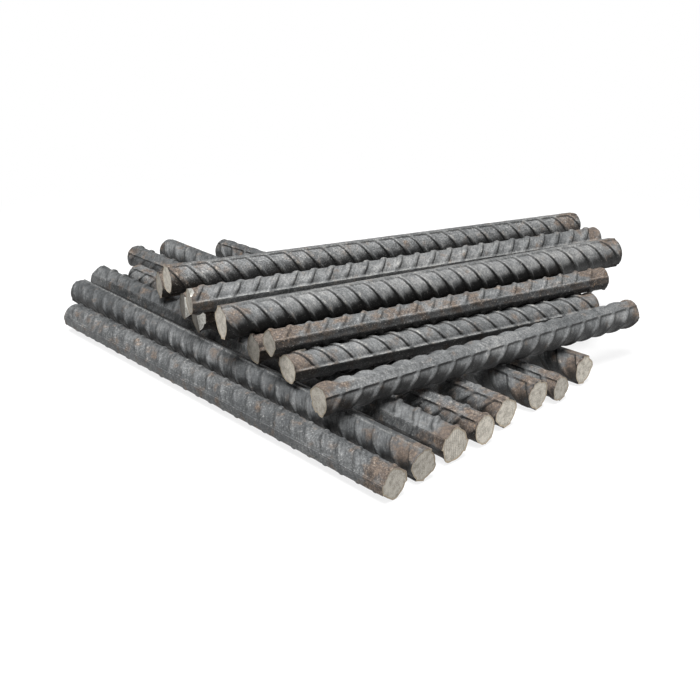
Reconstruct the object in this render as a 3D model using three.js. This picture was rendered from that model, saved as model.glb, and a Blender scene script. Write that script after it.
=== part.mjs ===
// A loose crossed stack of cut reinforcing bars, in millimetres, +Z up.
// A lower course lies side by side on the ground. A middle course lies across it, and a few
// top bars lie in the grooves of the middle course. Nothing ties the bars together: each one
// rests on the bars below it, so every height follows from the section and the seat gap.
// Each bar is a straight extrusion with the two ribs that run along a rolled bar.

import * as THREE from 'three';

// The rolled section. Three sizes are mixed in the stack, a step of the series apart.
const COMMON = 16;
const SERIES_STEP = 2;
const THIN = COMMON - SERIES_STEP;
const THICK = COMMON + SERIES_STEP;
const RIB_RISE = 0.3; // of a longitudinal rib's flat above the round
const RIB_CREST = 5.4; // width of the flat on top of a longitudinal rib
const RIB_FOOT = 6.6; // width of a longitudinal rib where it leaves the round
const ROUND_SIDES = 24; // flats on the round, one of them square to each rib

// How the bars lie.
const SEAT_GAP = 0.35; // left between two bars that touch
const SNUG = 0.4; // left between two bars of a course that lie against each other
const LOWER_HEADING = 133.3; // degrees from +X, the way the lower bars run
const UPPER_HEADING = 24; // the same for the middle and top bars
const GROOVE_STATIONS = 7; // places along a top bar where its seat is worked out
const HALVINGS = 30; // of the groove's width, to find where a top bar lies in it

// Lower course. Each bar is given in the order they lie, from the right end of the stack.
// near and far are the clear gaps to the bar before it, at the two stations of the course.
// start is where its near end lies along the course, roll turns it about its own axis, and
// cuts lean the near and far end faces sideways, in degrees.
const LOWER_STATIONS = { near: -150, far: 150 };
const LOWER_FIRST = { near: -112, far: -95 }; // where the first bar lies across the course
const LOWER_COURSE = {
	lower_bar_10: { size: COMMON, near: 0, far: 0, start: -58, length: 178, roll: 0, cuts: [ 1, 1 ] },
	lower_bar_9: { size: COMMON, near: 6, far: 5, start: -62, length: 180, roll: 0, cuts: [ -1, 1 ] },
	lower_bar_8: { size: COMMON, near: 6.5, far: 9.9, start: -124, length: 317, roll: 13, cuts: [ 2, 1 ] },
	lower_bar_7: { size: THIN, near: 13.8, far: 1.6, start: -129, length: 285, roll: -17, cuts: [ -1, 2 ] },
	lower_bar_6: { size: COMMON, near: 2.6, far: SNUG, start: -127, length: 347, roll: -10, cuts: [ 1, -2 ] },
	lower_bar_5: { size: COMMON, near: 13.3, far: 9.8, start: -129, length: 353, roll: -9, cuts: [ 0, 1 ] },
	lower_bar_4: { size: COMMON, near: 6.6, far: 7.4, start: -134, length: 320, roll: -24, cuts: [ -2, 1 ] },
	lower_bar_3: { size: THICK, near: 6, far: 4.4, start: -135, length: 332, roll: 110, cuts: [ 1, 0 ] },
	lower_bar_2: { size: COMMON, near: 7.9, far: 5.9, start: -138, length: 324, roll: 18, cuts: [ 2, -1 ] },
	lower_bar_1: { size: COMMON, near: 4.9, far: 7.6, start: -140, length: 290, roll: 100, cuts: [ -1, 2 ] },
};

// Middle course, from the front of the stack to its back, given in the same way.
const MIDDLE_STATIONS = { near: -60, far: 150 };
const MIDDLE_FIRST = { near: -105.4, far: -67.5 };
const MIDDLE_COURSE = {
	middle_bar_1: { size: COMMON, near: 0, far: 0, start: -64, length: 222, roll: 40, cuts: [ 2, -1 ] },
	middle_bar_2: { size: COMMON, near: 25.6, far: 3.8, start: -65, length: 206, roll: 280, cuts: [ -6, 1 ] },
	middle_bar_3: { size: THIN, near: SNUG, far: SNUG, start: -50, length: 190, roll: 30, cuts: [ 1, 1 ] },
	middle_bar_4: { size: COMMON, near: 1, far: SNUG, start: -73, length: 217, roll: 60, cuts: [ -3, 1 ] },
	middle_bar_5: { size: THIN, near: SNUG, far: SNUG, start: -55, length: 205, roll: 60, cuts: [ 1, -1 ] },
	middle_bar_6: { size: COMMON, near: 7.6, far: SNUG, start: -76, length: 230, roll: 15, cuts: [ 0, 1 ] },
	middle_bar_7: { size: COMMON, near: SNUG, far: SNUG, start: -89, length: 261, roll: 75, cuts: [ -2, 2 ] },
	middle_bar_8: { size: COMMON, near: 5, far: 1, start: -91, length: 257, roll: 30, cuts: [ 1, 0 ] },
	middle_bar_9: { size: COMMON, near: SNUG, far: SNUG, start: -80, length: 240, roll: 60, cuts: [ 2, 1 ] },
	middle_bar_10: { size: COMMON, near: 4.5, far: 2.3, start: -96, length: 247, roll: -20, cuts: [ 1, -2 ] },
};

// Top bars, each in the groove between the two middle bars it names, front one first.
const TOP_BARS = {
	top_bar_1: {
		seats: [ 'middle_bar_8', 'middle_bar_9' ],
		size: COMMON, start: -98, length: 300, roll: -7, cuts: [ -4, 1 ],
	},
	top_bar_2: {
		seats: [ 'middle_bar_6', 'middle_bar_7' ],
		size: COMMON, start: -95, length: 290, roll: 96, cuts: [ 5, 1 ],
	},
	top_bar_3: {
		seats: [ 'middle_bar_4', 'middle_bar_5' ],
		size: THICK, start: -88, length: 277, roll: 345, cuts: [ 1, 0 ],
	},
	top_bar_4: {
		seats: [ 'middle_bar_2', 'middle_bar_3' ],
		size: THIN, start: -72, length: 226, roll: 45, cuts: [ -4, 2 ],
	},
};

const UP = new THREE.Vector3( 0, 0, 1 );
const radians = THREE.MathUtils.degToRad;
const directionOf = ( angle ) => new THREE.Vector2( 1, 0 ).rotateAround( new THREE.Vector2(), radians( angle ) );

// ---------------------------------------------------------------- section

// Outline of a bar's section, x across and y up, with one rib at the top and one below.
function sectionOutline( size ) {

	const flat = size / 2;
	const corner = flat / Math.cos( Math.PI / ROUND_SIDES );
	const foot = RIB_FOOT / 2;
	const footHeight = Math.sqrt( corner * corner - foot * foot );
	const points = [];

	for ( const side of [ 1, -1 ] ) {

		points.push( new THREE.Vector2( side * foot, side * footHeight ) );
		points.push( new THREE.Vector2( side * RIB_CREST / 2, side * ( flat + RIB_RISE ) ) );
		points.push( new THREE.Vector2( - side * RIB_CREST / 2, side * ( flat + RIB_RISE ) ) );
		points.push( new THREE.Vector2( - side * foot, side * footHeight ) );

		for ( let i = 0; i < ROUND_SIDES / 2; i ++ ) {

			const angle = ( i + 0.5 ) * 2 * Math.PI / ROUND_SIDES;
			const x = - side * corner * Math.sin( angle );
			const y = side * corner * Math.cos( angle );
			if ( Math.abs( x ) > foot ) points.push( new THREE.Vector2( x, y ) );

		}

	}

	return points;

}

// ---------------------------------------------------------------- one bar

// A bar knows its outline, the plan line it lies over and, once it is seated, its axis.
function makeBar( [ name, spec ] ) {

	const outline = sectionOutline( spec.size );
	const turn = radians( spec.roll );
	for ( const point of outline ) point.rotateAround( new THREE.Vector2(), turn );
	return { name, ...spec, outline };

}

// Lays a bar's plan line through two points, with its near end at a distance along a heading.
function setPlan( bar, pointA, pointB, along ) {

	const heading = pointB.clone().sub( pointA ).normalize();
	const slide = ( bar.start - pointA.dot( along ) ) / heading.dot( along );
	bar.heading = heading;
	bar.origin = pointA.clone().addScaledVector( heading, slide );
	bar.across = new THREE.Vector2( - heading.y, heading.x );
	bar.height = 0;
	bar.slope = 0;

}

const planPoint = ( bar, distance ) => bar.origin.clone().addScaledVector( bar.heading, distance );
const axisHeight = ( bar, distance ) => bar.height + bar.slope * ( distance - bar.length / 2 );

// How far the section reaches from the axis, in a direction across (x) and up (y).
function reach( bar, x, y ) {

	return Math.max( ...bar.outline.map( ( point ) => point.x * x + point.y * y ) );

}

// Where two plan lines cross, as distances along each bar.
function crossing( bar, other ) {

	const between = other.origin.clone().sub( bar.origin );
	const turn = bar.heading.cross( other.heading );
	return [ between.cross( other.heading ) / turn, between.cross( bar.heading ) / turn ];

}

// The axis comes to rest on the two highest seats that stand on either side of its middle.
function restOn( bar, seats ) {

	const middle = bar.length / 2;
	bar.height = - Infinity;

	for ( const low of seats.filter( ( seat ) => seat.at <= middle ) ) {

		for ( const high of seats.filter( ( seat ) => seat.at > middle ) ) {

			const slope = ( high.height - low.height ) / ( high.at - low.at );
			const height = low.height + slope * ( middle - low.at );
			if ( height > bar.height ) Object.assign( bar, { height, slope } );

		}

	}

}

// ---------------------------------------------------------------- courses

// Lays a row of bars by the gaps between neighbours, at the two stations of the course.
function layCourse( course, headingAngle, stations, first ) {

	const along = directionOf( headingAngle );
	const across = new THREE.Vector2( - along.y, along.x );
	const place = ( station, offset ) => along.clone().multiplyScalar( station ).addScaledVector( across, offset );
	const offset = { ...first };
	const bars = [];

	for ( const entry of Object.entries( course ) ) {

		const bar = makeBar( entry );
		const before = bars.at( - 1 );

		if ( before ) {

			const halves = reach( before, 1, 0 ) + reach( bar, - 1, 0 );
			offset.near += halves + bar.near;
			offset.far += halves + bar.far;

		}

		setPlan( bar, place( stations.near, offset.near ), place( stations.far, offset.far ), along );
		bars.push( bar );

	}

	return bars;

}

// A bar on the ground stands on the lowest part of its section.
function layOnGround( bar ) {

	bar.height = reach( bar, 0, - 1 );

}

// A bar that lies across others is carried where it crosses them. One whose end stops just
// short of a carrier's crown is held clear of it too.
function layAcross( bar, carriers ) {

	const seats = [];

	for ( const carrier of carriers ) {

		const [ at, under ] = crossing( bar, carrier );
		const overBar = at > - carrier.size / 2 && at < bar.length + carrier.size / 2;
		const overCarrier = under > - bar.size / 2 && under < carrier.length + bar.size / 2;
		if ( ! overBar || ! overCarrier ) continue;
		const touch = reach( carrier, 0, 1 ) + SEAT_GAP + reach( bar, 0, - 1 );
		seats.push( { at, height: axisHeight( carrier, under ) + touch } );

	}

	restOn( bar, seats );

}

// Height of one section over another that keeps the gap between them, when their axes are a
// distance apart sideways: the lowest height at which some direction still parts the two.
function heightOver( bar, carrier, sideways ) {

	let lowest = Infinity;

	for ( let step = 1; step < 180; step ++ ) {

		const x = Math.cos( radians( step ) );
		const y = Math.sin( radians( step ) );
		const touch = reach( carrier, x, y ) + SEAT_GAP + reach( bar, - x, - y );
		lowest = Math.min( lowest, ( touch - sideways * x ) / y );

	}

	return lowest;

}

// Where a line across the heading, at a station along it, cuts a carrier: the distance along
// the carrier, its place across the heading and its axis height.
function cut( carrier, station, along, across ) {

	const distance = ( station - carrier.origin.dot( along ) ) / carrier.heading.dot( along );
	const place = planPoint( carrier, distance ).dot( across );
	return { distance, place, height: axisHeight( carrier, distance ) };

}

// A bar in a groove touches both its carriers. It lies where it is as low over the one as
// over the other, which is worked out at both stations of the course.
function layInGroove( bar, carriers, headingAngle, stations ) {

	const along = directionOf( headingAngle );
	const across = new THREE.Vector2( - along.y, along.x );

	const points = [ stations.near, stations.far ].map( ( station ) => {

		const [ front, back ] = carriers.map( ( carrier ) => cut( carrier, station, along, across ) );
		let low = front.place;
		let high = back.place;

		for ( let i = 0; i < HALVINGS; i ++ ) {

			const place = ( low + high ) / 2;
			const overFront = front.height + heightOver( bar, carriers[ 0 ], place - front.place );
			const overBack = back.height + heightOver( bar, carriers[ 1 ], place - back.place );
			if ( overFront > overBack ) low = place;
			else high = place;

		}

		return along.clone().multiplyScalar( station ).addScaledVector( across, ( low + high ) / 2 );

	} );

	setPlan( bar, ...points, along );

	const seats = [];

	for ( let i = 0; i < GROOVE_STATIONS; i ++ ) {

		const at = bar.length * i / ( GROOVE_STATIONS - 1 );
		const here = planPoint( bar, at );

		for ( const carrier of carriers ) {

			const { distance, place, height } = cut( carrier, here.dot( along ), along, across );
			if ( distance < 0 || distance > carrier.length ) continue;
			seats.push( { at, height: height + heightOver( bar, carrier, here.dot( across ) - place ) } );

		}

	}

	restOn( bar, seats );

}

// ---------------------------------------------------------------- solids

// Hot-rolled steel: blue-grey mill scale that has begun to rust.
function steel() {

	return new THREE.MeshStandardMaterial( { color: 0x4d4f52, roughness: 0.6, metalness: 0.6 } );

}

// The section is extruded along +Z and its two end faces are leaned by their cuts.
function barMesh( bar ) {

	const shape = new THREE.Shape( bar.outline );
	const geometry = new THREE.ExtrudeGeometry( shape, { depth: bar.length, steps: 1, bevelEnabled: false } );
	const position = geometry.getAttribute( 'position' );
	const [ nearLean, farLean ] = bar.cuts.map( ( cut ) => Math.tan( radians( cut ) ) );

	for ( let i = 0; i < position.count; i ++ ) {

		const z = position.getZ( i );
		const lean = z < bar.length / 2 ? nearLean : farLean;
		position.setZ( i, z + lean * position.getX( i ) );

	}

	geometry.computeVertexNormals();

	const mesh = new THREE.Mesh( geometry, steel() );
	mesh.name = bar.name;
	const axis = new THREE.Vector3( bar.heading.x, bar.heading.y, bar.slope ).normalize();
	const side = new THREE.Vector3().crossVectors( UP, axis ).normalize();
	const top = new THREE.Vector3().crossVectors( axis, side );
	const turn = new THREE.Matrix4().makeBasis( side, top, axis );
	mesh.quaternion.setFromRotationMatrix( turn );
	mesh.position.set( bar.origin.x, bar.origin.y, axisHeight( bar, 0 ) );
	return mesh;

}

// ---------------------------------------------------------------- the stack

const lower = layCourse( LOWER_COURSE, LOWER_HEADING, LOWER_STATIONS, LOWER_FIRST );
lower.forEach( layOnGround );

const middle = layCourse( MIDDLE_COURSE, UPPER_HEADING, MIDDLE_STATIONS, MIDDLE_FIRST );
middle.forEach( ( bar ) => layAcross( bar, lower ) );

const top = Object.entries( TOP_BARS ).map( makeBar );

for ( const bar of top ) {

	const carriers = bar.seats.map( ( name ) => middle.find( ( carrier ) => carrier.name === name ) );
	layInGroove( bar, carriers, UPPER_HEADING, MIDDLE_STATIONS );

}

const stack = new THREE.Group();
for ( const bar of [ ...lower, ...middle, ...top ] ) stack.add( barMesh( bar ) );

// The origin is on the ground, under the middle of the stack's plan.
const extent = new THREE.Box3().setFromObject( stack, true );
const centre = extent.getCenter( new THREE.Vector3() );
stack.position.set( - centre.x, - centre.y, 0 );

export default stack;
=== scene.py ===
import math
from collections import namedtuple

import bpy
import numpy as np
from mathutils import Matrix, Vector


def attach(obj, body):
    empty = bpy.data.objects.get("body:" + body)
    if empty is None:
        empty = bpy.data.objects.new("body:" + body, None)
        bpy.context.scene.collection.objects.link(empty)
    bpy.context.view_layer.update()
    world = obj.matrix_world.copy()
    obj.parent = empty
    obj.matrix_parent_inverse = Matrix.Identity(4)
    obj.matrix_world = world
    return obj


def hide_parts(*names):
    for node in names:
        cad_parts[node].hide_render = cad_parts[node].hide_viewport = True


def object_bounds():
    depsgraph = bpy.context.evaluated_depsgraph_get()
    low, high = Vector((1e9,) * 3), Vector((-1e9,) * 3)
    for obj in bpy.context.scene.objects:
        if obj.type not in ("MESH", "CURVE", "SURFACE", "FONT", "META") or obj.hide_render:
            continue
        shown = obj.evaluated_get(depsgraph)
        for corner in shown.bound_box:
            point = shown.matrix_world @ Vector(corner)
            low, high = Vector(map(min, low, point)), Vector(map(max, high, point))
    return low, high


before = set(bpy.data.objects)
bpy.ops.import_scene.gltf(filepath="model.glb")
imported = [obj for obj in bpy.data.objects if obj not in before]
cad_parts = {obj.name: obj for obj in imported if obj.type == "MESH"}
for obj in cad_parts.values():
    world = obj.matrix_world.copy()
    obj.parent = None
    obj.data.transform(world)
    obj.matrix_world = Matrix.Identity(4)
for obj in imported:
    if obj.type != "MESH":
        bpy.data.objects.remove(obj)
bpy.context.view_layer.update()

bpy.ops.object.select_all(action="DESELECT")

# ---------------------------------------------------------------------------------------
# Bar stock. Reinforcing bar is hot-rolled steel: a round core, two flat ribs that run its
# whole length, and slanting ribs across both halves, all rolled in one pass. One pitch of
# the rolled skin is shaped here and repeated along the bar, and each bar is cut from it.

STOCK_SIZE = 0.016          # nominal size of the bar that the skin is shaped at
STOCK_LENGTH = 0.400        # longer than any bar that is cut from it
FLOOR = 0.0076              # radius of the smooth skin between the ribs
SIDES = 60                  # columns round the skin
FLAT_COLUMNS = 3            # columns from the middle of a long rib to its edge
FLAT_LEVEL = 0.0083         # from the axis to a long rib's flat
FLAT_HALF = 0.0027          # half the width of that flat
PITCH = 0.012               # from one slanting rib to the next
SWELL = 0.00010             # what a slanting rib gains at each step towards its middle
SWELL_COLUMNS = (5.5, 7.5, 9.5)     # columns from a long rib's middle past which it gains
SLANT = 0.68                # how far it runs along the bar for each length it runs round
SAME_PLACE = 1e-5           # points closer than this are one, or on one ring

# Rings of one pitch: the place along it, and the share of a rib's rise that the ring has.
CRISP_RIBS = (
    (0.0000, 0.00), (0.0005, 0.30), (0.0011, 0.82), (0.0016, 1.00), (0.0029, 1.00),
    (0.0034, 0.82), (0.0040, 0.30), (0.0045, 0.00), (0.0068, 0.00), (0.0094, 0.00),
)
ROUND_RIBS = (
    (0.0000, 0.00), (0.0006, 0.18), (0.0013, 0.62), (0.0019, 0.92), (0.0026, 1.00),
    (0.0034, 0.92), (0.0041, 0.62), (0.0049, 0.18), (0.0056, 0.00), (0.0088, 0.00),
)
WIDE_RIBS = (
    (0.0000, 0.00), (0.0006, 0.30), (0.0013, 0.76), (0.0020, 0.97), (0.0029, 1.00),
    (0.0038, 0.97), (0.0045, 0.76), (0.0052, 0.30), (0.0058, 0.00), (0.0088, 0.00),
)

# A bar of stock, how high its slanting ribs rise, and how clearly their edges show: painted shade
# at a rib's foot, and a crest worn pale with a painted highlight.
Stock = namedtuple("Stock", "uncut rib_rise crisp")


def choose(piece, kind, test):
    """Leaves only the vertices, or the faces, selected that pass a test, in edit mode."""
    bpy.ops.object.mode_set(mode="OBJECT")
    for part in (piece.data.vertices, piece.data.edges, piece.data.polygons):
        part.foreach_set("select", [False] * len(part))
    for item in getattr(piece.data, kind):
        item.select = test(item)
    bpy.ops.object.mode_set(mode="EDIT")
    bpy.ops.mesh.select_mode(type="VERT" if kind == "vertices" else "FACE")


def column_of(place):
    """Columns round from the middle of the nearer long rib at +Y, on either hand."""
    return math.atan2(abs(place.x), place.y) / (2 * math.pi / SIDES)


def roll_stock(name, rings, end_rise, crisp):
    """One long ribbed bar along +Z, open at its ends, with its long ribs at +Y and -Y.

    end_rise is how high its slanting ribs stand where they meet a long rib."""
    bpy.ops.mesh.primitive_circle_add(vertices=SIDES, radius=FLOOR, fill_type="NOTHING")
    uncut = bpy.context.object
    uncut.name = name
    bpy.ops.object.mode_set(mode="EDIT")
    bpy.ops.mesh.select_all(action="SELECT")
    places = [place for place, share in rings] + [PITCH]
    for here, there in zip(places, places[1:]):
        move = {"value": (0, 0, there - here)}
        bpy.ops.mesh.extrude_region_move(TRANSFORM_OT_translate=move)

    # The long ribs: the skin above and below is drawn out to a flat.
    edge = FLOOR * math.sin(FLAT_COLUMNS * 2 * math.pi / SIDES)
    for side in (1, -1):
        choose(uncut, "vertices", lambda vert: column_of(
            Vector((vert.co.x, side * vert.co.y))) < FLAT_COLUMNS + 0.5)
        bpy.ops.transform.resize(
            value=(FLAT_HALF / edge, 0, 1), center_override=(0, side * FLAT_LEVEL, 0))

    # The slanting ribs: rings between the long ribs are spread, and their middles more.
    for place, share in rings:
        if share == 0:
            continue
        steps = [(FLAT_COLUMNS + 0.5, end_rise)] + [(first, SWELL) for first in SWELL_COLUMNS]
        for first, rise in steps:
            choose(uncut, "vertices", lambda vert: abs(vert.co.z - place) < SAME_PLACE
                   and first < column_of(vert.co) < SIDES / 2 - first)
            spread = 1 + share * rise / FLOOR
            bpy.ops.transform.resize(value=(spread, spread, 1), center_override=(0, 0, 0))

    # They slant away from the upper long rib on both hands.
    for column in range(1, SIDES // 2 + 1):
        choose(uncut, "vertices", lambda vert: round(column_of(vert.co)) == column)
        drift = SLANT * column * 2 * math.pi / SIDES * FLOOR
        bpy.ops.transform.translate(value=(0, 0, drift))
    bpy.ops.object.mode_set(mode="OBJECT")
    finish_with(uncut, "ARRAY", count=math.ceil(STOCK_LENGTH / PITCH), use_relative_offset=False,
                use_constant_offset=True, constant_offset_displace=(0, 0, PITCH),
                use_merge_vertices=True, merge_threshold=SAME_PLACE)
    uncut.select_set(False)
    return Stock(uncut, end_rise + len(SWELL_COLUMNS) * SWELL, crisp)


def finish_with(piece, kind, **settings):
    """Adds a modifier with its settings and applies it."""
    modifier = piece.modifiers.new(kind.lower(), kind)
    for name, value in settings.items():
        setattr(modifier, name, value)
    bpy.context.view_layer.objects.active = piece
    bpy.ops.object.modifier_apply(modifier=modifier.name)


crisp_stock = roll_stock("crisp_stock", CRISP_RIBS, end_rise=0.00075, crisp=1)
wide_stock = roll_stock("wide_stock", WIDE_RIBS, end_rise=0.00065, crisp=0.65)
broad_stock = roll_stock("broad_stock", ROUND_RIBS, end_rise=0.0008, crisp=0.4)
low_stock = roll_stock("low_stock", CRISP_RIBS, end_rise=0.0006, crisp=0.3)
worn_stock = roll_stock("worn_stock", ROUND_RIBS, end_rise=0.0006, crisp=0.25)
STOCK_START = SLANT * math.pi * FLOOR   # past the slanted end of the stock


def axis_of(node):
    """Near end, far end and the two end-face normals of a bar of the model, from its mesh."""
    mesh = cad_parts[node].data
    points = np.empty(len(mesh.vertices) * 3)
    mesh.vertices.foreach_get("co", points)
    points = np.unique(points.reshape(-1, 3).round(7), axis=0)
    middle = points.mean(axis=0)
    along = np.linalg.svd(points - middle)[2][0]
    along *= math.copysign(1, along[1])
    side = (points - middle) @ along
    ends = []
    for ring in (points[side < 0], points[side > 0]):
        centre = ring.mean(axis=0)
        normal = np.linalg.svd(ring - centre)[2][2]
        ends.append((Vector(centre), Vector(normal * math.copysign(1, normal @ along))))
    return ends


CUT, CHIP = 1, 2            # material slots of a bar, after its skin's
SAW_WIDTH = 1e-6            # points closer to a cut than this are taken as on it
ON_THE_CUT = 2e-6           # a face whose points are all this close to a cut is the cut's own


def slice_off(piece, point, outward, finish):
    """Saws off what lies outside a plane, closes the cut and gives it a finish."""
    bpy.ops.object.mode_set(mode="EDIT")
    bpy.ops.mesh.select_all(action="SELECT")
    bpy.ops.mesh.bisect(plane_co=point, plane_no=outward, use_fill=True, clear_outer=True,
                        threshold=SAW_WIDTH)
    bpy.ops.object.mode_set(mode="OBJECT")
    vertices = piece.data.vertices
    # The skin is all of four-cornered faces, so one with more corners closes a cut.
    for face in piece.data.polygons:
        if len(face.vertices) > 4 or finish == CHIP:
            away = (abs((vertices[i].co - point).dot(outward)) for i in face.vertices)
            if max(away) < ON_THE_CUT:
                face.material_index = finish


def put(tree, kind, settings, inputs):
    """Adds a shader node with its settings, and its inputs set or joined up."""
    made = tree.nodes.new("ShaderNode" + kind)
    for name, value in settings.items():
        setattr(made, name, value)
    for name, value in inputs.items():
        if isinstance(value, bpy.types.NodeSocket):
            tree.links.new(value, made.inputs[name])
        else:
            made.inputs[name].default_value = value
    return made


def math_of(tree, operation, *values):
    """The result of some arithmetic on values that change over the surface."""
    return put(tree, "Math", {"operation": operation}, dict(enumerate(values))).outputs[0]


def times(tree, value, factor):
    """A value times a factor."""
    return math_of(tree, "MULTIPLY", value, factor)


def plus_part(tree, value, factor, start):
    """A start, and a value times a factor on top of it."""
    return math_of(tree, "MULTIPLY_ADD", value, factor, start)


def rest_of(tree, share):
    """What a share from 0 to 1 leaves."""
    return math_of(tree, "SUBTRACT", 1, share)


def mask(tree, value, low, high):
    """0 up to the one limit, 1 from the other on, and smooth between them."""
    return put(tree, "MapRange", {"interpolation_type": "SMOOTHSTEP"},
               {"Value": value, "From Min": low, "From Max": high}).outputs[0]


def mixed(tree, share, one, other):
    """One colour where the share is 0, the other where it is 1."""
    if not isinstance(other, bpy.types.NodeSocket):
        other = (*other, 1)
    made = put(tree, "Mix", {"data_type": "RGBA"}, {0: share, 6: one, 7: other})
    return made.outputs[2]


def shaded(tree, colour, shade):
    """A colour times a shade, dark at 0 and as it is at 1."""
    return put(tree, "VectorMath", {"operation": "MULTIPLY"}, {0: colour, 1: shade}).outputs[0]


def ramp(tree, value, *stops):
    """A colour that changes with a value, through stops of a value and a colour."""
    made = put(tree, "ValToRGB", {}, {"Fac": value})
    elements = made.color_ramp.elements
    while len(elements) < len(stops):
        elements.new(0.5)
    for element, (place, colour) in zip(elements, stops):
        element.position = place
        element.color = (*colour, 1)
    return made.outputs[0]


def noise(tree, place, scale, detail, roughness=0.55):
    """Unevenness from 0 to 1, finer as its scale rises."""
    return put(tree, "TexNoise", {}, {"Vector": place, "Scale": scale, "Detail": detail,
                                      "Roughness": roughness}).outputs[0]


def mark(tree, name, output="Fac"):
    """What mark_skin wrote on the mesh under a name."""
    return put(tree, "Attribute", {"attribute_name": name}, {}).outputs[output]


def roughen(tree, shader, height, strength, depth):
    """Bumps a finish by a height from 0 to 1 that stands for a real depth."""
    bump = put(tree, "Bump", {}, {"Strength": strength, "Distance": depth, "Height": height})
    tree.links.new(bump.outputs[0], shader.inputs["Normal"])


def new_finish(name, roughness, metallic):
    """A plain material, its node tree, and its shader."""
    finish = bpy.data.materials.new(name)
    finish.use_nodes = True
    shader = finish.node_tree.nodes["Principled BSDF"]
    shader.inputs["Roughness"].default_value = roughness
    shader.inputs["Metallic"].default_value = metallic
    return finish, finish.node_tree, shader


OLD_RUST = (0.050, 0.036, 0.028)
THIN_RUST = (0.118, 0.084, 0.060)
DEEP_SPOT = (0.13, 0.082, 0.050)
FRESH_SPOT = (0.24, 0.150, 0.084)


def rust_group():
    """Shared by skin and sawn faces: a thin brown film, and orange spots of fresh rust."""
    group = bpy.data.node_groups.new("rust", "ShaderNodeTree")
    face = group.interface
    face.new_socket("Place", in_out="INPUT", socket_type="NodeSocketVector")
    face.new_socket("Amount", in_out="INPUT", socket_type="NodeSocketFloat")
    for name in ("Film", "Spots"):
        face.new_socket(name, in_out="OUTPUT", socket_type="NodeSocketFloat")
    for name in ("Film Colour", "Spot Colour"):
        face.new_socket(name, in_out="OUTPUT", socket_type="NodeSocketColor")
    given = group.nodes.new("NodeGroupInput").outputs
    result = group.nodes.new("NodeGroupOutput").inputs
    cloud = noise(group, given["Place"], 130, 3, 0.5)
    speck = noise(group, given["Place"], 520, 4, 0.6)
    reach = plus_part(group, given["Amount"], 0.42, cloud)
    group.links.new(mask(group, reach, 0.57, 0.80), result["Film"])
    deep = plus_part(group, given["Amount"], 0.20, speck)
    group.links.new(mask(group, deep, 0.79, 0.93), result["Spots"])
    group.links.new(ramp(group, speck, (0.35, OLD_RUST), (0.65, THIN_RUST)),
                    result["Film Colour"])
    group.links.new(ramp(group, cloud, (0.3, DEEP_SPOT), (0.7, FRESH_SPOT)),
                    result["Spot Colour"])
    return group


rust = rust_group()

DARK_SCALE = (0.048, 0.051, 0.053)
MILL_SCALE = (0.108, 0.111, 0.112)
PALE_SCALE = (0.190, 0.190, 0.186)
CREST_WEAR_AND_HIGHLIGHT = (0.37, 0.355, 0.32)
PAINTED_LEDGE_HIGHLIGHT = (0.30, 0.298, 0.28)
PALE_GRIT = (0.42, 0.41, 0.38)
END_RUST = (0.022, 0.001)   # distances from an end at which its rust starts and is full


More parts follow.
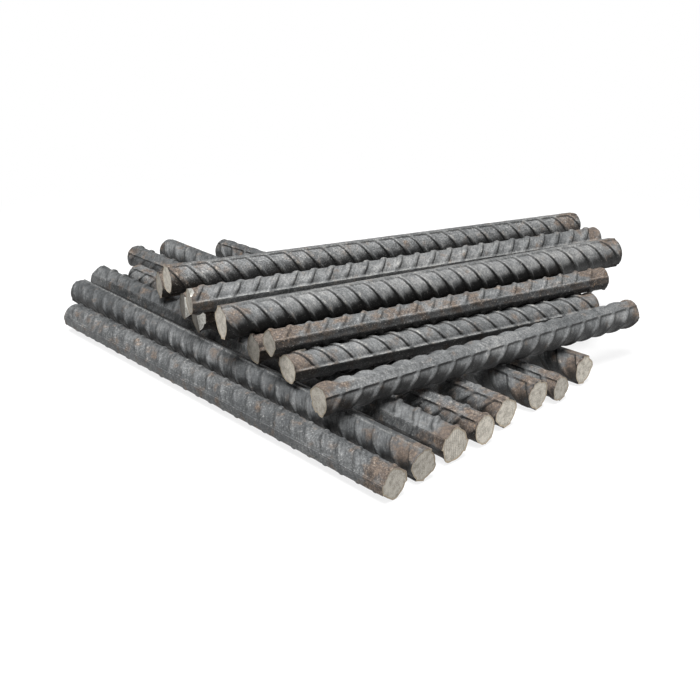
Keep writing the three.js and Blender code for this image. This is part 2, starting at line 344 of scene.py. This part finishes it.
def make_skin_steel():
    """Blue-grey mill scale, browned by rust near the ends and worn pale on the ribs, with painted
    highlights and painted shade on the ribs and on what faces down.
    """
    finish, tree, shader = new_finish("bar_skin_steel", 0.6, 0.15)
    place = mark(tree, "place_on_bar", "Vector")
    drawn = put(tree, "Mapping", {}, {"Vector": place, "Scale": (1, 1, 0.4)}).outputs[0]
    patch = noise(tree, drawn, 60, 4)
    blotch = noise(tree, place, 260, 6, 0.7)
    hoops = noise(tree, mark(tree, "rolled_place", "Vector"), 800, 3, 0.6)
    grit = noise(tree, place, 1050, 4, 0.7)
    rise = mark(tree, "rise")
    upward = mark(tree, "upward")
    long_rib = mark(tree, "long_rib")
    near_end = mask(tree, mark(tree, "to_end"), *END_RUST)

    # Mill scale, in patches drawn out along the bar.
    tone = plus_part(tree, patch, 0.4, times(tree, blotch, 0.35))
    tone = plus_part(tree, hoops, 0.2, tone)
    tone = plus_part(tree, mark(tree, "tone"), 0.12, tone)
    colour = ramp(tree, tone, (0.36, DARK_SCALE), (0.50, MILL_SCALE), (0.64, PALE_SCALE))

    # A film of rust, thickest near the ends and a little thicker on the long ribs.
    amount = plus_part(tree, near_end, 0.6, mark(tree, "rusting"))
    amount = plus_part(tree, long_rib, 0.06, amount)
    rusted = put(tree, "Group", {"node_tree": rust}, {"Place": place, "Amount": amount}).outputs
    film = times(tree, rusted["Film"], 0.85)
    colour = mixed(tree, film, colour, rusted["Film Colour"])

    # Rib crests worn pale, with a painted highlight; a painted highlight on long-rib edges where
    # marked above 0.
    # Partly wear and partly a painted highlight on the crests.
    crest_wear_and_highlight = times(tree, mask(tree, rise, 0.75, 1.0), mask(tree, blotch, 0.50, 0.64))
    crest_wear_and_highlight = times(tree, crest_wear_and_highlight, mark(tree, "crisp"))
    colour = mixed(tree, times(tree, crest_wear_and_highlight, 0.34), colour, CREST_WEAR_AND_HIGHLIGHT)
    painted_ledge_shading = times(tree, mark(tree, "painted_ledge_shading"), mask(tree, rise, 0.9, 0.6))
    painted_ledge_shading = times(tree, math_of(tree, "PINGPONG", long_rib, 0.5), painted_ledge_shading)
    colour = mixed(tree, painted_ledge_shading, colour, PAINTED_LEDGE_HIGHLIGHT)

    # Fine light and dark specks.
    gritty = math_of(tree, "MAXIMUM", mark(tree, "gritty"), times(tree, long_rib, 0.7))
    speckle = put(tree, "MapRange", {}, {"Value": grit, "From Min": 0.38, "From Max": 0.62,
                                         "To Min": -0.5, "To Max": 0.5}).outputs[0]
    shade = plus_part(tree, speckle, plus_part(tree, gritty, 0.6, 0.3), 1)
    # Painted shade at the feet of the slanting ribs, on the side that leans away from the sky.
    painted_foot_shade = times(tree, mask(tree, rise, 0.02, 0.15), mask(tree, rise, 0.95, 0.6))
    painted_foot_shade = times(tree, painted_foot_shade, mark(tree, "crisp"))
    painted_foot_shade = times(tree, painted_foot_shade, mask(tree, upward, 0.98, 0.72))
    painted_flank_shade = math_of(tree, "MINIMUM", plus_part(tree, mark(tree, "lean"), 2.6, -0.45), 0)
    shade = times(tree, shade, math_of(tree, "MAXIMUM", plus_part(tree, painted_foot_shade, painted_flank_shade, 1), 0.12))
    # Dark lines that the rolls left, but not near the ends.
    lines = times(tree, mask(tree, hoops, 0.50, 0.38), mark(tree, "hoops"))
    shade = times(tree, shade, rest_of(tree, times(tree, lines, rest_of(tree, near_end))))
    # Painted shade on the edges of the long ribs where marked below 0, and on what faces down.
    # Painted shade: a dark line along the long-rib edges where marked below 0.
    painted_ledge_shade = math_of(tree, "MINIMUM", painted_ledge_shading, 0)
    shade = times(tree, shade, plus_part(tree, painted_ledge_shade, 1.6, 1))
    # Painted shade from which way each point faces.
    under = mask(tree, upward, 0.5, -0.1)
    shade = times(tree, shade, rest_of(tree, times(tree, under, mark(tree, "painted_underside_shading"))))
    colour = shaded(tree, colour, shade)

    # Pale grit and orange spots of rust lie on top of it all.
    glint = times(tree, mask(tree, grit, 0.60, 0.68), times(tree, gritty, 0.45))
    colour = mixed(tree, glint, colour, PALE_GRIT)
    colour = mixed(tree, rusted["Spots"], colour, rusted["Spot Colour"])
    tree.links.new(colour, shader.inputs["Base Color"])

    dull = plus_part(tree, blotch, 0.2, plus_part(tree, rusted["Film"], 0.2, 0.52))
    tree.links.new(dull, shader.inputs["Roughness"])
    tree.links.new(plus_part(tree, film, -0.1, 0.12), shader.inputs["Metallic"])
    height = plus_part(tree, blotch, 0.5, times(tree, grit, 0.3))
    roughen(tree, shader, plus_part(tree, hoops, 0.2, height), 0.8, 0.0008)
    return finish


STAINED_CUT = (0.38, 0.345, 0.285)
CLEAN_CUT = (0.88, 0.825, 0.725)
SAW_STROKE = (0.30, 0.28, 0.25)
BROWNED_RIM = (0.42, 0.33, 0.215)


def make_cut_steel():
    """Bare grey steel with the marks of the saw, browned round its rim."""
    finish, tree, shader = new_finish("bar_cut_steel", 0.6, 0.2)
    place = mark(tree, "place_on_bar", "Vector")
    blotch = noise(tree, place, 320, 5, 0.6)
    grit = noise(tree, place, 2600, 3, 0.6)

    # The strokes of the saw run side by side, a little bent round the middle of the bar.
    flat = put(tree, "VectorMath", {"operation": "MULTIPLY"}, {0: place, 1: (1, 1, 0)})
    radius = put(tree, "VectorMath", {"operation": "LENGTH"}, {0: flat.outputs[0]})
    bent = times(tree, radius.outputs["Value"], 0.3)
    sawn = put(tree, "CombineXYZ", {}, {"X": mark(tree, "across"), "Y": bent}).outputs[0]
    strokes = put(tree, "TexWave", {"bands_direction": "X"}, {
        "Vector": sawn, "Scale": 230, "Distortion": 6, "Detail": 3,
        "Detail Scale": 1.2}).outputs["Fac"]
    stain = plus_part(tree, grit, 0.5, times(tree, blotch, 0.5))
    colour = ramp(tree, stain, (0.40, STAINED_CUT), (0.56, CLEAN_CUT))
    colour = mixed(tree, times(tree, strokes, mark(tree, "sawn")), colour, SAW_STROKE)

    # The rim is browned, with spots of rust.
    rim = mask(tree, plus_part(tree, blotch, 1.4, mark(tree, "rim")), 0.75, 1.5)
    rusted = put(tree, "Group", {"node_tree": rust}, {
        "Place": place, "Amount": times(tree, rim, 0.5)}).outputs
    colour = mixed(tree, times(tree, rim, 0.75), colour, BROWNED_RIM)
    colour = mixed(tree, times(tree, rusted["Spots"], 0.8), colour, rusted["Spot Colour"])
    colour = shaded(tree, colour, mark(tree, "face"))
    tree.links.new(colour, shader.inputs["Base Color"])
    roughen(tree, shader, plus_part(tree, strokes, 0.6, times(tree, grit, 0.4)), 0.5, 0.0002)
    return finish


DULL_TEAR = (0.34, 0.33, 0.29)
BRIGHT_TEAR = (0.66, 0.65, 0.61)


def make_bright_steel():
    """Freshly torn steel where a chip has broken from a cut edge."""
    finish, tree, shader = new_finish("bar_bright_steel", 0.4, 0.8)
    grain = noise(tree, mark(tree, "place_on_bar", "Vector"), 900, 5, 0.6)
    tree.links.new(ramp(tree, grain, (0.35, DULL_TEAR), (0.6, BRIGHT_TEAR)),
                   shader.inputs["Base Color"])
    roughen(tree, shader, grain, 0.4, 0.0003)
    return finish


skin_steel = make_skin_steel()
cut_steel = make_cut_steel()
bright_steel = make_bright_steel()

# What a bar is marked with for its finishes, from none at 0 to full at 1 unless it says more.
LOOKS = (
    "rusting",  # how rusty the whole bar is, over what its ends have
    "tone",     # lighter scale than most, or darker below 0
    "gritty",   # pale grit on the skin
    "hoops",    # dark lines that the rolls left
    "painted_ledge_shading",    # edges of the long ribs, a painted highlight, or painted shade below 0
    "painted_underside_shading",  # painted shade on what faces down, or painted light there below 0
    "face",     # how light the cut faces are
)
STROKES = 0.15              # how strong the saw's strokes show on a cut face
THICK_BAR = 0.018
THICK_BAR_STROKES = 0.5
WEAR_SIZE = 0.0045          # of the dents and swellings that rolling leaves
WEAR_DEPTH = 0.00045        # from the deepest dent to the highest swelling
BURR = 0.00025              # width of the turned edge round a sawn face
RIM = 0.87                  # share of the face's width inside its stained rim
SHEAR_ROUNDING = 0.7        # how far a sheared far end is rounded towards a circle
LONG_RIB_EDGE = (23, 19)    # degrees from a long rib's middle, outside and inside its edge
ON_AXIS = 1e-6              # keeps the middle of a cut face from having no radius
ROLLED_STRETCH = 0.2        # fineness of the rolls' marks round the bar, next to along it
CREASE = math.radians(50)   # from which an edge stays sharp
CHIP_PAST_SKIN = 1.05       # how far out a chip runs, as a share of the bar's half width
# Steps that round a sheared far end: how far each stands out, and its share of the width.
SHEARED = ((0.0007, 0.95), (0.0005, 0.90), (0.0002, 0.86))
# How far apart the letters and the length of two names put their bars in the unevenness.
LETTER_STEP, LETTER_STEPS, LENGTH_STEP = 0.61, 17, 0.37

wear = bpy.data.textures.new("rolled_unevenness", "CLOUDS")
wear.noise_scale = WEAR_SIZE
wear.noise_depth = 3


def cut_bar(node, shape, looks, chips=(), clean_far=0):
    """Cuts one bar from the stock, finishes its ends and lays it where the model has it.

    clean_far is how far the rust of its far end is moved out past that end, or in below 0."""
    stock, size, roll, twist, pitch, slide = shape
    (near, near_normal), (far, far_normal) = axis_of(node)
    along = (far - near).normalized()
    left = Vector((0, 0, 1)).cross(along).normalized()
    lie = Matrix((left, along.cross(left), along)).transposed().to_4x4()
    lie = Matrix.Translation(near) @ lie @ Matrix.Rotation(math.radians(roll), 4, "Z")
    length = (far - near).length
    home = lie.inverted()

    bar = stock.uncut.copy()
    bar.data = stock.uncut.data.copy()
    bar.name = node + "_ribbed"
    bpy.context.collection.objects.link(bar)
    bpy.context.view_layer.objects.active = bar
    bar.select_set(True)
    for slot in (skin_steel, cut_steel, bright_steel):
        bar.data.materials.append(slot)

    # The stock is drawn to the bar's size and slid so that its ribs start part way.
    wide = size / STOCK_SIZE
    bar.data.transform(Matrix.Translation((0, 0, -(STOCK_START + slide * PITCH) * pitch / PITCH))
                       @ Matrix.Diagonal((wide, wide, pitch / PITCH, 1)))
    # A place of its own in the unevenness, so that no two bars are worn alike.
    letters = sum(map(ord, node)) % LETTER_STEPS
    own = Matrix.Translation((0, 0, LETTER_STEP * letters + LENGTH_STEP * len(node)))
    bar.data.transform(own)
    finish_with(bar, "DISPLACE", texture=wear, texture_coords="LOCAL", strength=WEAR_DEPTH,
                mid_level=0.5)
    bar.data.transform(own.inverted())
    if twist:
        finish_with(bar, "SIMPLE_DEFORM", deform_method="TWIST", deform_axis="Z",
                    angle=math.radians(twist) * bar.dimensions.z / length)
    turn = home.to_3x3()
    slice_off(bar, Vector(), turn @ -near_normal, CUT)
    sheared = sum(step for step, share in SHEARED)
    slice_off(bar, Vector((0, 0, length - sheared)), turn @ far_normal, CUT)
    for end, angle, reach, depth in chips:
        # reach is how far out the chip starts on the end face, and depth how far it runs in.
        u = Vector((math.sin(math.radians(angle)), math.cos(math.radians(angle)), 0))
        inward = 1 if end == "near" else -1
        start = Vector((0, 0, 0 if end == "near" else length)) + u * reach
        slope = u * (size / 2 * CHIP_PAST_SKIN - reach) + Vector((0, 0, inward * depth))
        outward = slope.cross(u.cross(Vector((0, 0, 1)))).normalized()
        if outward.dot(u) < 0:
            outward.negate()
        slice_off(bar, start, outward, CHIP)

    # The sawn near face stands a little proud of a turned edge, and the far end is rounded.
    choose(bar, "polygons", lambda face: face.material_index == CUT
           and face.center.z < length / 2)
    bpy.ops.mesh.inset(thickness=BURR, depth=BURR / 2)
    bpy.ops.mesh.extrude_region_move(TRANSFORM_OT_translate={"value": (0, 0, 0)})
    bpy.ops.transform.resize(value=(RIM, RIM, 1), center_override=(0, 0, 0))
    choose(bar, "polygons", lambda face: face.material_index == CUT
           and face.center.z > length / 2)
    bpy.ops.transform.tosphere(value=SHEAR_ROUNDING)
    for step, share in SHEARED:
        bpy.ops.mesh.extrude_region_move(TRANSFORM_OT_translate={"value": (0, 0, step)})
        bpy.ops.transform.resize(value=(share, share, 1), center_override=(0, 0, length))
    bpy.ops.mesh.select_all(action="SELECT")
    bpy.ops.mesh.normals_make_consistent(inside=False)
    bpy.ops.object.mode_set(mode="OBJECT")

    bar.matrix_world = lie
    mark_skin(bar, shape, looks, length, own.translation, clean_far)
    bpy.ops.object.transform_apply(location=True, rotation=True, scale=True)
    bpy.ops.object.shade_smooth_by_angle(angle=CREASE)
    bar.select_set(False)
    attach(bar, "root")
    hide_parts(node)


def mark_skin(bar, shape, looks, length, own_place, clean_far):
    """Writes where each point lies on its bar and which way it faces, and the bar's own looks, for
    the finishes and their painted light and shade.
    """
    stock, size, roll, twist, pitch = shape[:5]
    wide = size / STOCK_SIZE
    mesh = bar.data
    count = len(mesh.vertices)
    place = np.empty(count * 3)
    mesh.vertices.foreach_get("co", place)
    place = place.reshape(-1, 3)
    facing = np.empty(count * 3)
    mesh.vertices.foreach_get("normal", facing)
    up = np.array(bar.matrix_world.to_3x3().row[2])
    upward = facing.reshape(-1, 3) @ up
    radius = np.hypot(place[:, 0], place[:, 1]) / wide
    angle = np.degrees(np.arctan2(place[:, 0], place[:, 1])) + twist * place[:, 2] / length
    # Marks of the rolls run along the slanting ribs, so they are placed with the same drift.
    round_from_top = np.abs((angle + 180) % 360 - 180)
    rolled = place * (ROLLED_STRETCH, ROLLED_STRETCH, 1) + own_place
    rolled[:, 2] -= SLANT * FLOOR * pitch / PITCH * np.radians(round_from_top)
    angle = np.abs((angle + 90) % 180 - 90)
    outside, inside = LONG_RIB_EDGE
    values = {
        "rise": np.clip((radius - FLOOR) / stock.rib_rise, 0, 1),
        "long_rib": np.clip((outside - angle) / (outside - inside), 0, 1),
        "to_end": np.minimum(place[:, 2], length + clean_far - place[:, 2]),
        # Which way each point faces, for the painted shade of the ribs and of what faces down.
        "upward": upward,
        "lean": upward - place[:, :2] @ up[:2] / (radius * wide + ON_AXIS),
        "across": place[:, 0] * math.cos(math.radians(roll))
        - place[:, 1] * math.sin(math.radians(roll)),
        "rim": np.ones(count),
    }
    sawn = THICK_BAR_STROKES if size == THICK_BAR else STROKES
    for name, value in zip((*LOOKS, "crisp", "sawn"), (*looks, stock.crisp, sawn)):
        values[name] = np.full(count, value)
    # The large face that closes an end lies inside its rim.
    for face in mesh.polygons:
        if len(face.vertices) > 4:
            values["rim"][list(face.vertices)] = 0
    for name, each in values.items():
        mesh.attributes.new(name, "FLOAT", "POINT").data.foreach_set("value", each)
    place = place / (wide, wide, 1) + own_place
    for name, each in (("place_on_bar", place), ("rolled_place", rolled)):
        marked = mesh.attributes.new(name, "FLOAT_VECTOR", "POINT")
        marked.data.foreach_set("vector", each.ravel())


# ---------------------------------------------------------------------------------------
# Lower course. Ten cut lengths lie side by side on the ground, with their sawn ends to the
# front right. Nothing holds them but their weight.

LOWER_CLEAN_FAR = 0.014     # their far ends are nearly free of rust

# Each bar's stock, size, roll and twist in degrees, pitch of its ribs and the share of a pitch
# that they are slid by. Then, in the order of LOOKS, how its skin and sawn face look.
LOWER_COURSE = {
    "lower_bar_1": ((worn_stock, 0.016, 263, 0, 0.0118, 0.5),
                    (0.12, -0.7, 1.0, 0.25, -0.7, -0.15, 0.56)),
    "lower_bar_2": ((low_stock, 0.016, 198, 25, 0.0128, 0.45),
                    (0.0, -0.8, 0.35, 0.4, 0.5, 0.95, 0.51)),
    "lower_bar_3": ((broad_stock, 0.018, 290, 0, 0.0132, 0.4),
                    (0.06, -0.4, 0.2, 0.35, 0, 0.7, 0.73)),
    "lower_bar_4": ((wide_stock, 0.016, -24, 15, 0.0132, 0.1),
                    (0.22, -0.1, 0.9, 0.3, 0, 0.7, 0.79)),
    "lower_bar_5": ((wide_stock, 0.016, -9, -30, 0.0135, 0.5),
                    (0.16, -0.4, 0.6, 0.3, 0, 0.7, 0.79)),
    "lower_bar_6": ((wide_stock, 0.016, 170, 55, 0.0132, 0.8),
                    (0.10, -0.5, 0.4, 0.3, 0, 0.7, 0.69)),
    "lower_bar_7": ((wide_stock, 0.014, 163, 0, 0.0120, 0.3),
                    (0.16, -0.4, 0.5, 0.3, 0, 0.7, 0.57)),
    "lower_bar_8": ((crisp_stock, 0.016, 193, -30, 0.0128, 0.7),
                    (0.10, -0.4, 0.3, 0.3, 0, 0.7, 0.75)),
    "lower_bar_9": ((crisp_stock, 0.016, 0, 0, 0.0125, 0.0),
                    (0.12, -0.2, 0.3, 0.3, 0, 0.12, 1)),
    "lower_bar_10": ((crisp_stock, 0.016, 0, 0, 0.0125, 0.5),
                     (0.12, -0.2, 0.3, 0.3, 0, 0.12, 1)),
}
for node, values in LOWER_COURSE.items():
    cut_bar(node, *values, clean_far=LOWER_CLEAN_FAR)

# ---------------------------------------------------------------------------------------
# Middle course. Ten shorter lengths lie across the lower ones, close together, so that
# their crowns make grooves for the bars on top.

# As above, and then the chips of its ends: which end, angle in degrees, reach and depth.
MIDDLE_COURSE = {
    "middle_bar_1": ((broad_stock, 0.016, 220, -20, 0.0120, 0.3),
                     (-0.06, -0.05, 0.4, 0.15, 0, 0.8, 0.53)),
    "middle_bar_2": ((crisp_stock, 0.016, 280, 0, 0.0117, 0.84),
                     (0.08, 0.2, 0.6, 0.2, 0.65, 0.75, 0.68)),
    "middle_bar_3": ((crisp_stock, 0.014, 30, 0, 0.0112, 0.1),
                     (0.10, -0.2, 0.3, 0.3, 0, 0.65, 0.8)),
    "middle_bar_4": ((crisp_stock, 0.016, 60, 0, 0.0120, 0.4),
                     (0.26, -0.4, 0.6, 0.3, 0, 0.65, 0.29)),
    "middle_bar_5": ((crisp_stock, 0.014, 60, 0, 0.0112, 0.7),
                     (0.10, -0.2, 0.3, 0.3, 0, 0.65, 0.8)),
    "middle_bar_6": ((crisp_stock, 0.016, 15, 0, 0.0120, 0.2),
                     (0.10, -0.2, 0.3, 0.3, 0, 0.65, 0.8)),
    "middle_bar_7": ((crisp_stock, 0.016, 75, 0, 0.0120, 0.5),
                     (0.20, -0.2, 0.5, 0.3, 0, 0.65, 0.2),
                     (("near", 10, 0.001, 0.003),)),
    "middle_bar_8": ((crisp_stock, 0.016, 30, 0, 0.0120, 0.9),
                     (0.20, -0.2, 0.5, 0.3, 0, 0.65, 0.22),
                     (("near", -60, 0.004, 0.004),)),
    "middle_bar_9": ((crisp_stock, 0.016, 60, 0, 0.0120, 0.3),
                     (0.10, -0.2, 0.3, 0.3, 0, 0.65, 0.8)),
    "middle_bar_10": ((crisp_stock, 0.016, -20, 0, 0.0120, 0.6),
                      (0.16, -0.2, 0.5, 0.3, 0, 0.65, 0.46)),
}
for node, values in MIDDLE_COURSE.items():
    cut_bar(node, *values)

# ---------------------------------------------------------------------------------------
# Top bars. Four longer cut lengths lie in the grooves between the bars of the middle course,
# and run the same way. Nothing ties them down.

TOP_CLEAN_FAR = -0.005      # rust reaches further in from their far ends

TOP_BARS = {
    "top_bar_1": ((crisp_stock, 0.016, -7, 0, 0.0127, 0.95),
                  (0.05, 0.35, 1.25, 0.15, -0.12, 0.72, 0.64)),
    "top_bar_2": ((wide_stock, 0.016, 96, 0, 0.0119, 0.02),
                  (0.0, 0.2, 0.7, 0.2, 0.65, 0.2, 0.45),
                  (("near", 86, 0.0061, 0.0035),)),
    "top_bar_3": ((crisp_stock, 0.018, 345, 0, 0.0117, 0.32),
                  (-0.1, 0.3, 0.6, 0.2, -0.12, 0.98, 0.72)),
    "top_bar_4": ((broad_stock, 0.014, 81, 0, 0.0113, 0.47),
                  (0.34, 0.0, 1.0, 0.1, 0.3, 0.95, 0.38)),
}
for node, values in TOP_BARS.items():
    cut_bar(node, *values, clean_far=TOP_CLEAN_FAR)
for stock in (crisp_stock, broad_stock, wide_stock, low_stock, worn_stock):
    bpy.data.objects.remove(stock.uncut)

# ---------------------------------------------------------------------------------------
# Studio. A white sweep under the stack, a soft light overhead and a fill from either side.

WHITE = (1, 1, 1)
FLOOR_SIZE = 8
FLOOR_GREY = 0.18           # how much of the floor's white is lit, so that it takes a shadow
FLOOR_FADE = (0.25, 0.45)   # distances from the stack over which it turns plain white
SKY = 0.14                  # how bright the studio's walls are, next to the white behind the stack

floor_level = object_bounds()[0][2]
bpy.ops.mesh.primitive_plane_add(size=FLOOR_SIZE, location=(0, 0, floor_level))
ground = bpy.context.object
ground.name = "studio_floor"
ground.select_set(False)


def make_floor_white():
    """A matt white floor that keeps the shadow on it and fades to plain white round about."""
    finish, tree, shader = new_finish("floor_white", 0.9, 0)
    shader.inputs["Base Color"].default_value = (FLOOR_GREY, FLOOR_GREY, FLOOR_GREY, 1)
    shader.inputs["Specular IOR Level"].default_value = 0
    path = tree.nodes.new("ShaderNodeLightPath").outputs
    seen = math_of(tree, "MAXIMUM", path["Is Camera Ray"], path["Is Glossy Ray"])
    seen = math_of(tree, "MAXIMUM", seen, path["Is Transmission Ray"])
    glow = put(tree, "Emission", {}, {"Color": (*WHITE, 1),
                                      "Strength": times(tree, seen, 1 - FLOOR_GREY)})
    near_stack = put(tree, "AddShader", {}, {0: shader.outputs[0], 1: glow.outputs[0]})
    plain = put(tree, "Emission", {}, {"Color": (*WHITE, 1), "Strength": seen})
    place = put(tree, "TexCoord", {}, {}).outputs["Object"]
    away = put(tree, "VectorMath", {"operation": "LENGTH"}, {0: place}).outputs["Value"]
    both = put(tree, "MixShader", {}, {0: mask(tree, away, *FLOOR_FADE),
                                       1: near_stack.outputs[0], 2: plain.outputs[0]})
    tree.links.new(both.outputs[0], tree.nodes["Material Output"].inputs["Surface"])
    return finish


ground.data.materials.append(make_floor_white())

world = bpy.data.worlds.new("studio")
bpy.context.scene.world = world
world.use_nodes = True
tree = world.node_tree
path = tree.nodes.new("ShaderNodeLightPath").outputs
seen = math_of(tree, "MAXIMUM", path["Is Camera Ray"], path["Is Transmission Ray"])
backdrop = tree.nodes["Background"]
tree.links.new(plus_part(tree, seen, 1 - SKY, SKY), backdrop.inputs["Strength"])
backdrop.inputs["Color"].default_value = (*WHITE, 1)


def hang_light(name, place, aim, size, power):
    """A square softbox that faces a point."""
    bpy.ops.object.light_add(type="AREA", location=place)
    light = bpy.context.object
    light.name = name
    light.data.size = size
    light.data.energy = power
    facing = (Vector(aim) - Vector(place)).to_track_quat("-Z", "Y")
    light.rotation_euler = facing.to_euler()
    light.select_set(False)


hang_light("overhead_softbox", place=(-0.12, -0.28, 1.12), aim=(0, 0, 0), size=0.8, power=35)
hang_light("left_fill", place=(-1.2, -0.7, 0.2), aim=(0, 0, 0), size=0.8, power=8)
hang_light("right_fill", place=(0.75, -0.5, 0.3), aim=(0.05, 0, 0), size=0.5, power=3.2)

# The camera stands in front of the stack and looks down at it.
CAMERA_PLACE = (0.0121, -0.6137, 0.2684)
LOOK_DOWN, LOOK_LEFT = 23.53, 0.56
SENSOR = 36                 # millimetres across
FRAME_PIXELS = 700
FOCAL_PIXELS = 1094.8       # the focal length in pixels of that frame

bpy.ops.object.camera_add(
    location=CAMERA_PLACE,
    rotation=(math.radians(90 - LOOK_DOWN), 0, math.radians(LOOK_LEFT)))
camera = bpy.context.object
camera.data.sensor_width = SENSOR
camera.data.lens = SENSOR * FOCAL_PIXELS / FRAME_PIXELS
camera.data.clip_start = 0.01
bpy.context.scene.camera = camera
bpy.context.scene.view_settings.view_transform = "Standard"
